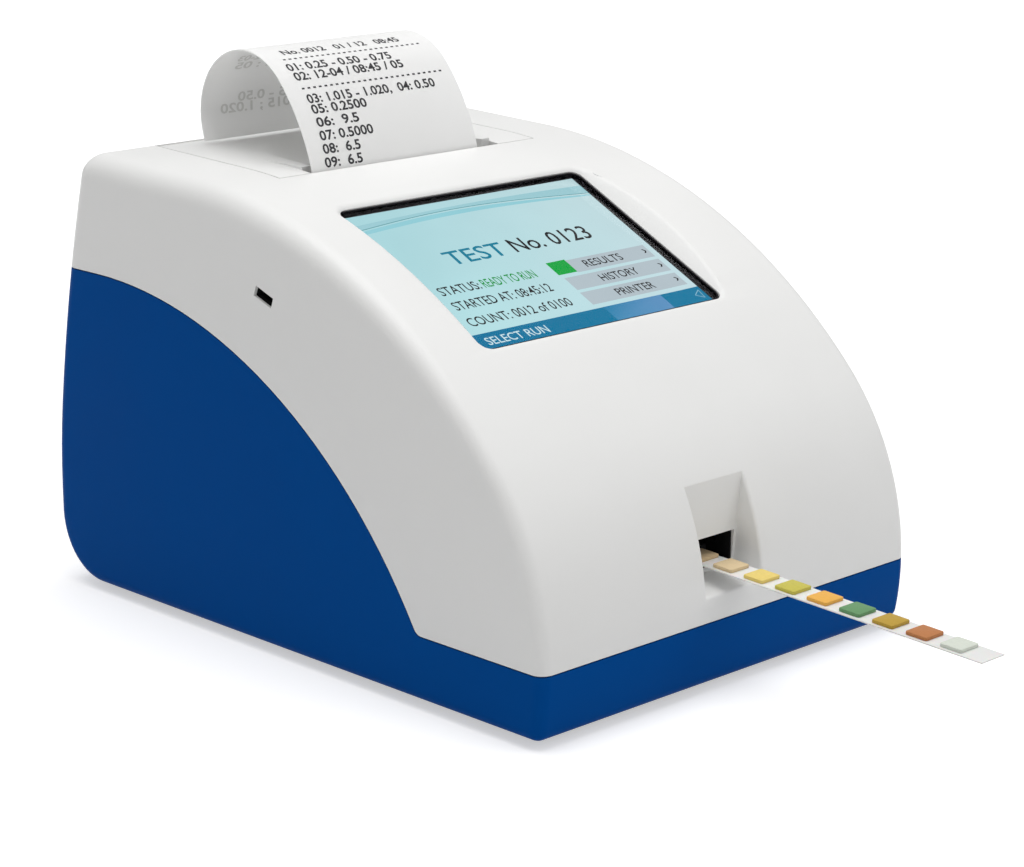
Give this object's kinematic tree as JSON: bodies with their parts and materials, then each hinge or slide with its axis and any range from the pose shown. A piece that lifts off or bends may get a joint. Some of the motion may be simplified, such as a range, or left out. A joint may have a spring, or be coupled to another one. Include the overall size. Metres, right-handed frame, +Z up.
{
  "type": "urine analyzer",
  "caption": "Benchtop urine analyzer with a tilted touch screen, a hinged paper cover over a thermal printer, and a motor-driven test strip port.",
  "frame": {"origin": "middle of the whole unit, test strip included, on the table under the feet", "axes": "+X to the right as one faces the screen, +Y to the back, +Z up"},
  "size_m": [0.132, 0.2632, 0.1447],
  "materials": {
    "aluminium": "satin",
    "black_plastic": "matte",
    "blue_shell": "satin",
    "board_green": "lacquered",
    "core_card": "plain",
    "display_face": "lit panel",
    "foot_rubber": "matte",
    "gear_plastic": "natural",
    "grey_plastic": "matte",
    "head_ceramic": "glazed line",
    "motor_metal": "satin",
    "pad_paper": "absorbent",
    "rocker_black": "glossy",
    "roller_rubber": "matte",
    "screen_glass": "polished",
    "screw_steel": "bright",
    "socket_metal": "bright",
    "steel_plate": "zinc plated",
    "strip_film": "white film",
    "thermal_paper": "smooth",
    "white_shell": "fine satin"
  },
  "bodies": {
    "casing": {"rubber_feet": "foot_rubber", "casing_screws": "screw_steel", "base_casing": "blue_shell", "touch_glass": "screen_glass", "display_module": "display_face", "screen_plate": "steel_plate", "screen_screws": "screw_steel", "port_shade": "black_plastic", "side_data_socket": "socket_metal", "side_port_board": "board_green", "top_casing": "white_shell", "cover_hinge_pin": "screw_steel", "printer_motor": "motor_metal", "idler_pin": "screw_steel", "printer_frame": "steel_plate", "print_head": "head_ceramic", "head_heatsink": "aluminium", "head_springs": "screw_steel", "paper_bin": "black_plastic", "paper_web": "thermal_paper", "printer_deck": "steel_plate", "deck_pillars": "socket_metal", "deck_screws": "screw_steel", "main_board": "board_green", "connector_board": "board_green", "board_screws": "screw_steel", "board_components": "black_plastic", "computer_socket": "socket_metal", "accessory_sockets": "socket_metal", "power_jack": "black_plastic", "switch_housing": "black_plastic", "carriage_guide": "black_plastic", "drive_motor": "motor_metal", "optical_head": "black_plastic", "optics_window": "screen_glass", "lamp_board": "board_green", "sensor_board": "board_green"},
    "cover": {"paper_cover": "white_shell", "platen_bushes": "gear_plastic", "printout": "thermal_paper"},
    "platen": {"platen_shaft": "socket_metal", "platen_roller": "roller_rubber", "platen_gear": "gear_plastic"},
    "idler": {"idler_gear": "gear_plastic"},
    "feed_pinion": {"motor_pinion": "socket_metal"},
    "roll": {"paper_roll": "thermal_paper", "roll_core": "core_card", "roll_spindle": "black_plastic"},
    "carriage": {"strip_carriage": "grey_plastic", "test_strip": "strip_film", "reagent_pads": "pad_paper"},
    "strip_drive": {"drive_pinion": "gear_plastic"},
    "rocker": {"power_rocker": "rocker_black"}
  },
  "joints": [
    {"name": "cover_hinge", "type": "hinge", "parent": "casing", "child": "cover", "pos_m": [0, 0.1073, 0.1113], "axis": [-1, 0, 0], "range_deg": [0, 60]},
    {"name": "platen_spin", "type": "hinge", "parent": "cover", "child": "platen", "pos_m": [0, 0.06663, 0.104], "axis": [1, 0, 0], "continuous": true},
    {"name": "idler_spin", "type": "hinge", "parent": "casing", "child": "idler", "pos_m": [0, 0.06663, 0.0919], "axis": [1, 0, 0], "continuous": true},
    {"name": "feed_pinion_spin", "type": "hinge", "parent": "casing", "child": "feed_pinion", "pos_m": [0, 0.05668, 0.08923], "axis": [1, 0, 0], "continuous": true},
    {"name": "roll_spin", "type": "hinge", "parent": "casing", "child": "roll", "pos_m": [0, 0.0887, 0.084], "axis": [1, 0, 0], "continuous": true},
    {"name": "strip_slide", "type": "slide", "parent": "casing", "child": "carriage", "axis": [0, 0.999, 0.0436], "range_m": [0, 0.078]},
    {"name": "strip_drive_spin", "type": "hinge", "parent": "casing", "child": "strip_drive", "pos_m": [0.0152, 0.04261, 0.03393], "axis": [0, -0.0436, 0.999], "range_deg": [-700, 0]},
    {"name": "power_rocker_tip", "type": "hinge", "parent": "casing", "child": "rocker", "pos_m": [0.049, 0.1283, 0.027], "axis": [1, 0, 0], "range_deg": [0, 18]}
  ],
  "couplings": [
    {"joint": "platen_spin", "follows": "roll_spin", "ratio": 4},
    {"joint": "idler_spin", "follows": "roll_spin", "ratio": -2.6667},
    {"joint": "feed_pinion_spin", "follows": "roll_spin", "ratio": 6.4},
    {"joint": "strip_drive_spin", "follows": "strip_slide", "rad_per_m": -156.25}
  ]
}
